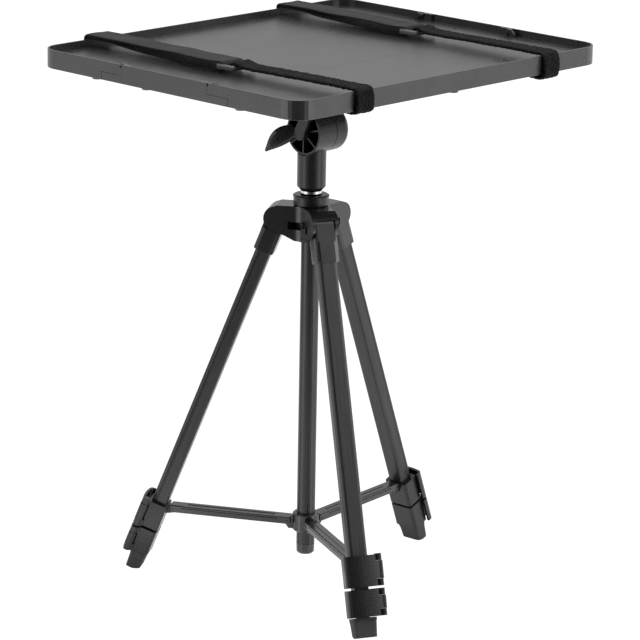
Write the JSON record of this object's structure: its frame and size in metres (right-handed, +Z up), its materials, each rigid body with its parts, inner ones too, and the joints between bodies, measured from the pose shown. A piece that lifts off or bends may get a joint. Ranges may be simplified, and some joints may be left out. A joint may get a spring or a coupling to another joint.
{
  "type": "projector table",
  "caption": "Folding tripod stand with a pan and tilt head carrying a rimmed fold-up tray with hook-and-loop straps.",
  "frame": {"origin": "on the floor under the middle of the tray", "axes": "+Z up, +X along the tray's long side, +Y from the front wing to the rear wing"},
  "size_m": [0.504, 0.4194, 0.6502],
  "materials": {
    "tray": "fine grained satin",
    "moulded": "satin",
    "tube": "dark anodised satin",
    "bright": "polished",
    "pin": "satin",
    "foot": "matt",
    "webbing": "woven loop tape",
    "buckle": "satin"
  },
  "bodies": {
    "stand": {"crown": "moulded", "guide_tube": "tube", "tube_end_cap": "moulded", "spreader_hub": "moulded", "spreader_arm_1": "moulded", "spreader_arm_2": "moulded", "spreader_arm_3": "moulded", "leg_1_top_cap": "moulded", "leg_1_pin": "pin", "leg_1_tube_upper": "tube", "leg_1_lock_upper": "moulded", "leg_2_top_cap": "moulded", "leg_2_pin": "pin", "leg_2_tube_upper": "tube", "leg_2_lock_upper": "moulded", "leg_3_top_cap": "moulded", "leg_3_pin": "pin", "leg_3_tube_upper": "tube", "leg_3_lock_upper": "moulded"},
    "collar": {"column_collar": "moulded"},
    "centre_column": {"column": "tube", "column_ring": "bright"},
    "pan_head": {"pan_housing": "moulded"},
    "tilting_table": {"tilt_head": "moulded", "tilt_axle": "pin", "tray_mount_block": "moulded", "tray_middle": "tray", "strap_left_middle": "webbing", "strap_right_middle": "webbing", "buckle_left": "buckle", "buckle_right": "buckle"},
    "tilt_clamp": {"tilt_lever": "moulded"},
    "front_wing": {"tray_wing_front": "tray", "tray_wing_front_pin_left": "pin", "tray_wing_front_pin_right": "pin", "strap_left_front": "webbing", "strap_right_front": "webbing"},
    "rear_wing": {"tray_wing_rear": "tray", "tray_wing_rear_pin_left": "pin", "tray_wing_rear_pin_right": "pin", "strap_left_rear": "webbing", "strap_right_rear": "webbing"},
    "leg_1_middle": {"leg_1_tube_middle": "tube", "leg_1_lock_lower": "moulded"},
    "leg_1_lower": {"leg_1_tube_lower": "tube", "leg_1_foot": "foot"},
    "leg_1_upper_clamp": {"leg_1_lever_upper": "moulded"},
    "leg_1_lower_clamp": {"leg_1_lever_lower": "moulded"},
    "leg_2_middle": {"leg_2_tube_middle": "tube", "leg_2_lock_lower": "moulded"},
    "leg_2_lower": {"leg_2_tube_lower": "tube", "leg_2_foot": "foot"},
    "leg_2_upper_clamp": {"leg_2_lever_upper": "moulded"},
    "leg_2_lower_clamp": {"leg_2_lever_lower": "moulded"},
    "leg_3_middle": {"leg_3_tube_middle": "tube", "leg_3_lock_lower": "moulded"},
    "leg_3_lower": {"leg_3_tube_lower": "tube", "leg_3_foot": "foot"},
    "leg_3_upper_clamp": {"leg_3_lever_upper": "moulded"},
    "leg_3_lower_clamp": {"leg_3_lever_lower": "moulded"}
  },
  "joints": [
    {"name": "collar_turn", "type": "hinge", "parent": "stand", "child": "collar", "pos_m": [-0.0073, 0.0076, 0.467], "axis": [0, 0, 1], "range_deg": [0, 90]},
    {"name": "column_slide", "type": "slide", "parent": "stand", "child": "centre_column", "axis": [0, 0, 1], "range_m": [0, 0.24]},
    {"name": "head_pan", "type": "hinge", "parent": "centre_column", "child": "pan_head", "pos_m": [-0.0073, 0.0076, 0.48], "axis": [0, 0, 1], "continuous": true},
    {"name": "head_tilt", "type": "hinge", "parent": "pan_head", "child": "tilting_table", "pos_m": [-0.0073, 0.0076, 0.5479], "axis": [1, 0, 0], "range_deg": [-35, 85]},
    {"name": "tilt_lever_turn", "type": "hinge", "parent": "pan_head", "child": "tilt_clamp", "pos_m": [-0.0293, 0.0076, 0.5479], "axis": [1, 0, 0], "range_deg": [-60, 40]},
    {"name": "wing_front_fold", "type": "hinge", "parent": "tilting_table", "child": "front_wing", "pos_m": [0, -0.0692, 0.6453], "axis": [-1, 0, 0], "range_deg": [0, 90]},
    {"name": "wing_rear_fold", "type": "hinge", "parent": "tilting_table", "child": "rear_wing", "pos_m": [0, 0.0692, 0.6453], "axis": [1, 0, 0], "range_deg": [0, 90]},
    {"name": "leg_1_middle_slide", "type": "slide", "parent": "stand", "child": "leg_1_middle", "axis": [0.3594, 0.021, -0.933], "range_m": [0, 0.26]},
    {"name": "leg_1_lower_slide", "type": "slide", "parent": "leg_1_middle", "child": "leg_1_lower", "axis": [0.3594, 0.021, -0.933], "range_m": [0, 0.25]},
    {"name": "leg_1_upper_lever", "type": "hinge", "parent": "stand", "child": "leg_1_upper_clamp", "pos_m": [0.18752, 0.0395, 0.07566], "axis": [-0.3594, -0.021, 0.933], "range_deg": [0, 110]},
    {"name": "leg_1_lower_lever", "type": "hinge", "parent": "leg_1_middle", "child": "leg_1_lower_clamp", "pos_m": [0.20064, 0.04027, 0.04161], "axis": [-0.3594, -0.021, 0.933], "range_deg": [0, 110]},
    {"name": "leg_2_middle_slide", "type": "slide", "parent": "stand", "child": "leg_2_middle", "axis": [-0.1979, 0.3007, -0.933], "range_m": [0, 0.26]},
    {"name": "leg_2_lower_slide", "type": "slide", "parent": "leg_2_middle", "child": "leg_2_lower", "axis": [-0.1979, 0.3007, -0.933], "range_m": [0, 0.25]},
    {"name": "leg_2_upper_lever", "type": "hinge", "parent": "stand", "child": "leg_2_upper_clamp", "pos_m": [-0.13234, 0.16037, 0.07566], "axis": [0.1979, -0.3007, 0.933], "range_deg": [0, 110]},
    {"name": "leg_2_lower_lever", "type": "hinge", "parent": "leg_2_middle", "child": "leg_2_lower_clamp", "pos_m": [-0.13956, 0.17134, 0.04161], "axis": [0.1979, -0.3007, 0.933], "range_deg": [0, 110]},
    {"name": "leg_3_middle_slide", "type": "slide", "parent": "stand", "child": "leg_3_middle", "axis": [-0.1615, -0.3217, -0.933], "range_m": [0, 0.26]},
    {"name": "leg_3_lower_slide", "type": "slide", "parent": "leg_3_middle", "child": "leg_3_lower", "axis": [-0.1615, -0.3217, -0.933], "range_m": [0, 0.25]},
    {"name": "leg_3_upper_lever", "type": "hinge", "parent": "stand", "child": "leg_3_upper_clamp", "pos_m": [-0.07708, -0.17707, 0.07566], "axis": [0.1615, 0.3217, 0.933], "range_deg": [0, 110]},
    {"name": "leg_3_lower_lever", "type": "hinge", "parent": "leg_3_middle", "child": "leg_3_lower_clamp", "pos_m": [-0.08298, -0.18881, 0.04161], "axis": [0.1615, 0.3217, 0.933], "range_deg": [0, 110]}
  ]
}
